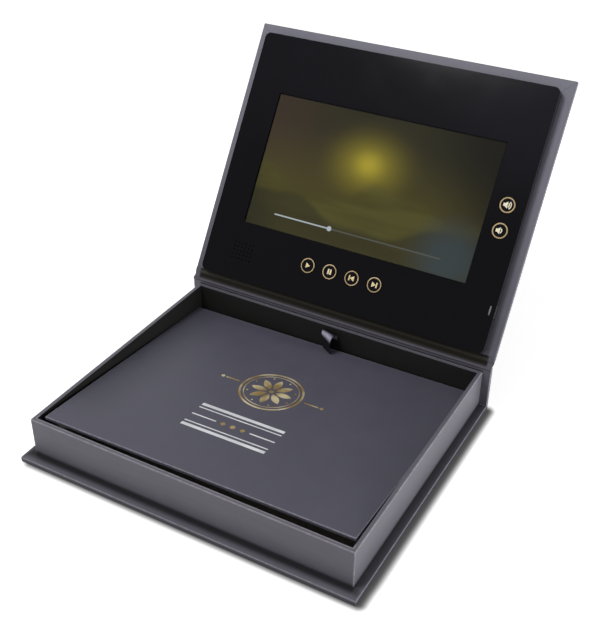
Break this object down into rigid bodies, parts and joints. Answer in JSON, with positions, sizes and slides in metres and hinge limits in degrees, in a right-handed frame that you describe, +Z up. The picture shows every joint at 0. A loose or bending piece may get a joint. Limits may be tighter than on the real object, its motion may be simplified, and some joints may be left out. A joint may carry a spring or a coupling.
{
  "type": "video presentation box",
  "caption": "Book-style presentation box of wrapped greyboard: hinged lid with a video screen panel and round buttons, shallow tray, loose inner board with ribbon pull.",
  "frame": {"origin": "centre of the base's underside, on the surface that the box stands on", "axes": "+X along the hinge to the right-hand side, +Y from the front edge to the hinge, +Z up"},
  "size_m": [0.212, 0.273, 0.1769],
  "materials": {
    "greyboard": "solid pressed greyboard, bare",
    "cover_paper": "dark grey coated art paper, fine satin",
    "insert_paper": "dark blue-grey soft-touch paper with a gold foil ornament",
    "lining_paper": "black matt lining paper",
    "satin_ribbon": "black satin ribbon",
    "black_face": "gloss black printed sheet",
    "clear_window": "clear hard-coated window",
    "display_glass": "liquid crystal cell, lit from behind",
    "diffuser": "milky light guide",
    "pressed_steel": "thin pressed steel",
    "plated_steel": "nickel-plated shell",
    "foam": "closed-cell adhesive foam",
    "circuit_board": "green solder mask on glass epoxy",
    "flex_film": "amber polyimide film",
    "chip_black": "black moulded epoxy",
    "connector_white": "ivory nylon",
    "battery_foil": "lithium polymer pouch",
    "lead_insulation": "insulated copper strand",
    "magnet_plate": "nickel-plated magnet",
    "button_black": "gloss black cap with a gold printed ring"
  },
  "bodies": {
    "case": {"base_board": "greyboard", "base_wrap": "cover_paper", "spine_board": "greyboard", "spine_wrap": "cover_paper", "tray_floor": "greyboard", "tray_front_wall": "greyboard", "tray_back_wall": "greyboard", "tray_left_wall": "greyboard", "tray_right_wall": "greyboard", "tray_wrap": "cover_paper", "tray_lining": "lining_paper", "front_support": "greyboard", "rear_support": "greyboard", "trigger_magnet": "magnet_plate", "inner_hinge_paper": "cover_paper", "outer_hinge_paper": "cover_paper"},
    "inner_board": {"flap_board": "greyboard", "flap_wrap": "insert_paper", "ribbon_pull": "satin_ribbon"},
    "lid": {"battery": "battery_foil", "battery_leads": "lead_insulation", "button_board": "circuit_board", "button_flex": "flex_film", "lcd_backlight": "diffuser", "lcd_bezel": "pressed_steel", "lcd_connector": "connector_white", "lcd_flex": "flex_film", "lcd_foam": "foam", "lcd_glass": "display_glass", "lid_board": "greyboard", "lid_sensor": "chip_black", "lid_wrap": "cover_paper", "main_board": "circuit_board", "memory_chip": "chip_black", "next_switch": "chip_black", "panel_face": "black_face", "panel_frame": "greyboard", "panel_tape": "foam", "panel_wrap": "cover_paper", "pause_switch": "chip_black", "play_switch": "chip_black", "previous_switch": "chip_black", "processor_chip": "chip_black", "screen_window": "clear_window", "speaker": "chip_black", "speaker_gasket": "foam", "speaker_leads": "lead_insulation", "usb_socket": "plated_steel", "volume_board": "circuit_board", "volume_down_switch": "chip_black", "volume_flex": "flex_film", "volume_up_switch": "chip_black"},
    "play_key": {"play_button": "button_black"},
    "pause_key": {"pause_button": "button_black"},
    "previous_key": {"previous_button": "button_black"},
    "next_key": {"next_button": "button_black"},
    "volume_up_key": {"volume_up_button": "button_black"},
    "volume_down_key": {"volume_down_button": "button_black"}
  },
  "joints": [
    {"name": "lid_hinge", "type": "hinge", "parent": "case", "child": "lid", "pos_m": [0, 0.0862, 0.0323], "axis": [-1, 0, 0], "range_deg": [-123, 65], "deforming": ["inner_hinge_paper", "outer_hinge_paper"]},
    {"name": "inner_board_tilt", "type": "hinge", "parent": "case", "child": "inner_board", "pos_m": [0.0006, -0.0742, 0.0252], "axis": [0.9999, 0.0148, 0], "range_deg": [0, 80]},
    {"name": "play_press", "type": "slide", "parent": "lid", "child": "play_key", "axis": [0, 0.8387, -0.5446], "range_m": [0, 0.0003], "stiffness_N_per_m": 1500, "springref_m": -0.0002},
    {"name": "pause_press", "type": "slide", "parent": "lid", "child": "pause_key", "axis": [0, 0.8387, -0.5446], "range_m": [0, 0.0003], "stiffness_N_per_m": 1500, "springref_m": -0.0002},
    {"name": "previous_press", "type": "slide", "parent": "lid", "child": "previous_key", "axis": [0, 0.8387, -0.5446], "range_m": [0, 0.0003], "stiffness_N_per_m": 1500, "springref_m": -0.0002},
    {"name": "next_press", "type": "slide", "parent": "lid", "child": "next_key", "axis": [0, 0.8387, -0.5446], "range_m": [0, 0.0003], "stiffness_N_per_m": 1500, "springref_m": -0.0002},
    {"name": "volume_up_press", "type": "slide", "parent": "lid", "child": "volume_up_key", "axis": [0, 0.8387, -0.5446], "range_m": [0, 0.0003], "stiffness_N_per_m": 1500, "springref_m": -0.0002},
    {"name": "volume_down_press", "type": "slide", "parent": "lid", "child": "volume_down_key", "axis": [0, 0.8387, -0.5446], "range_m": [0, 0.0003], "stiffness_N_per_m": 1500, "springref_m": -0.0002}
  ]
}
